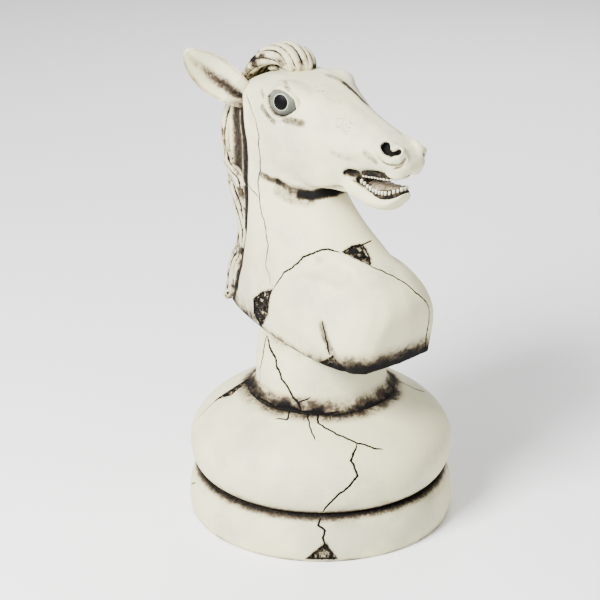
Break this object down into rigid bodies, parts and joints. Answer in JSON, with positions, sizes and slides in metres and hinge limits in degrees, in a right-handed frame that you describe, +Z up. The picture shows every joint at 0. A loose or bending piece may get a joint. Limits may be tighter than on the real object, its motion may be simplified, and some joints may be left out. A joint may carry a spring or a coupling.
{
  "type": "giant chess piece",
  "caption": "Lawn-size knight: hollow horse bust with open mouth, mane and forelock on a round moulded base, steel core, ballast and screwed filler plug.",
  "frame": {"origin": "on the ground under the middle of the round base", "axes": "+Z up, +X the way the horse faces, -Y the horse's right"},
  "size_m": [0.506, 0.5, 0.8817],
  "materials": {
    "ivory_resin": "ivory paint with a dark brown antique wash",
    "teeth_resin": "ivory paint, dark between the teeth",
    "mouth_resin": "brown wash",
    "eye_resin": "grey with a black pupil, varnished",
    "hair_resin": "ivory paint, heavy dark wash in the grooves",
    "dowel_wood": "plain beech",
    "plywood": "sealed plywood",
    "zinc_steel": "zinc plated",
    "foot_rubber": "matt",
    "seal_rubber": "matt",
    "brass": "turned",
    "plug_plastic": "moulded",
    "dry_sand": "loose"
  },
  "bodies": {
    "root": {"foot_ring": "ivory_resin", "base_cushion": "ivory_resin", "stem": "ivory_resin", "bust_right": "ivory_resin", "bust_left": "ivory_resin", "bust_floor": "ivory_resin", "lower_jaw": "ivory_resin", "upper_teeth": "teeth_resin", "lower_teeth": "teeth_resin", "tongue": "mouth_resin", "right_eye": "eye_resin", "left_eye": "eye_resin", "right_ear": "ivory_resin", "left_ear": "ivory_resin", "ear_pins": "dowel_wood", "forelock": "hair_resin", "mane": "hair_resin", "base_board": "plywood", "board_screws": "zinc_steel", "rubber_feet": "foot_rubber", "ground_inserts": "brass", "floor_flange": "zinc_steel", "flange_bolts": "zinc_steel", "flange_nuts": "zinc_steel", "support_tube": "zinc_steel", "tube_cap": "zinc_steel", "floor_collar": "zinc_steel", "floor_screws": "zinc_steel", "crossbar": "zinc_steel", "crossbar_bolt": "zinc_steel", "steel_nuts": "zinc_steel", "head_rod": "zinc_steel", "ballast": "dry_sand", "filler_bush": "brass"},
    "seal": {"plug_seal": "seal_rubber"},
    "plug": {"filler_plug": "plug_plastic"}
  },
  "joints": [
    {"name": "plug_travel", "type": "slide", "parent": "root", "child": "seal", "axis": [0, 0, -1], "range_m": [0, 0.015]},
    {"name": "plug_turn", "type": "hinge", "parent": "seal", "child": "plug", "pos_m": [0.11, 0, 0.03], "axis": [0, 0, -1], "range_deg": [0, 1795]}
  ],
  "couplings": [
    {"joint": "plug_travel", "follows": "plug_turn", "m_per_rad": 0.00047746}
  ]
}
